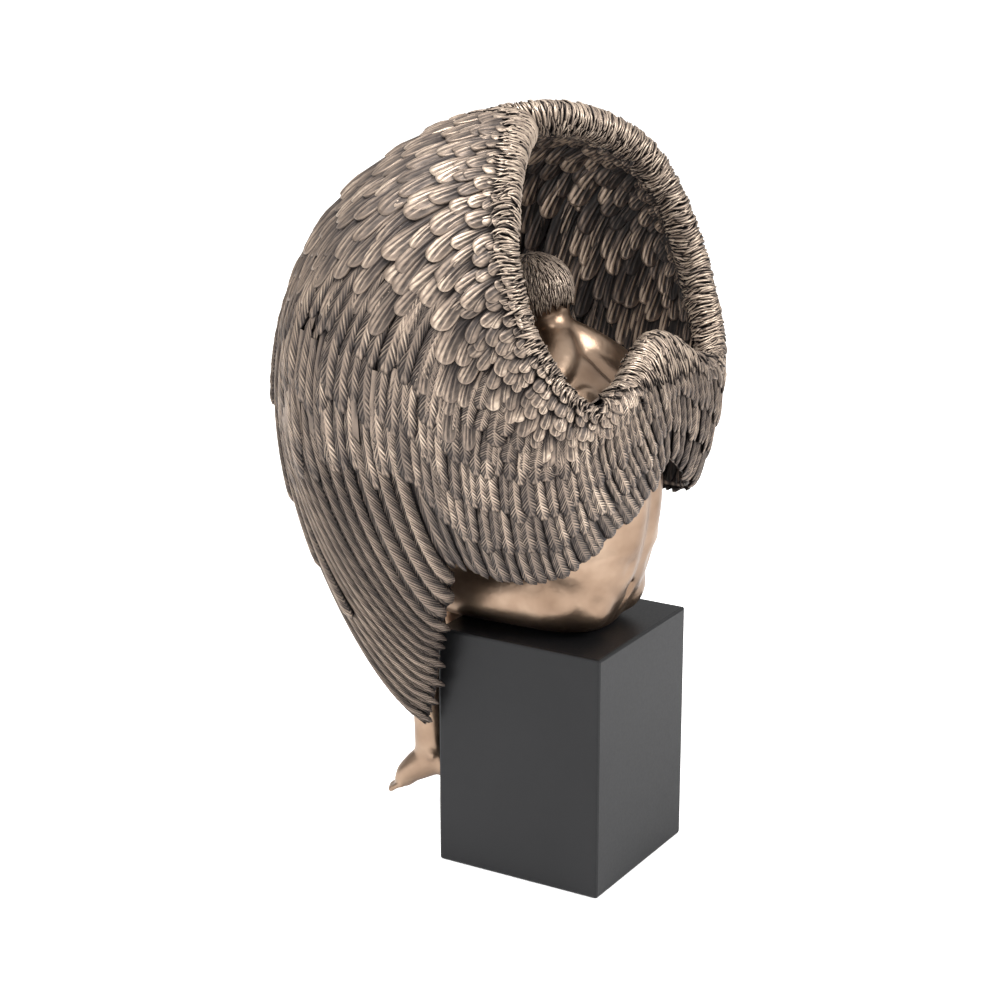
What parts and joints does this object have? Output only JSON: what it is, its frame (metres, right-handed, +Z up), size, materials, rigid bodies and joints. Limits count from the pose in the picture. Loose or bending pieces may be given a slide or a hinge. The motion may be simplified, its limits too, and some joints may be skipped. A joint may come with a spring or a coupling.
{
  "type": "winged figure statuette on plinth",
  "caption": "Seated figure with bowed head, wrapped in two large feathered wings, on a tall square block plinth.",
  "frame": {"origin": "middle of the plinth's underside", "axes": "+Z up; the figure faces -Y and its left side is +X"},
  "size_m": [0.2054, 0.1778, 0.3465],
  "materials": {
    "cold_cast_bronze": "cold-cast bronze: resin filled with bronze powder, dark brown patina in the recesses, rubbed bright on the raised feathers and polished on the figure",
    "black_resin": "satin black paint on cast resin, lightly rubbed and scratched"
  },
  "bodies": {
    "root": {"angel": "cold_cast_bronze", "plinth": "black_resin"}
  },
  "joints": []
}
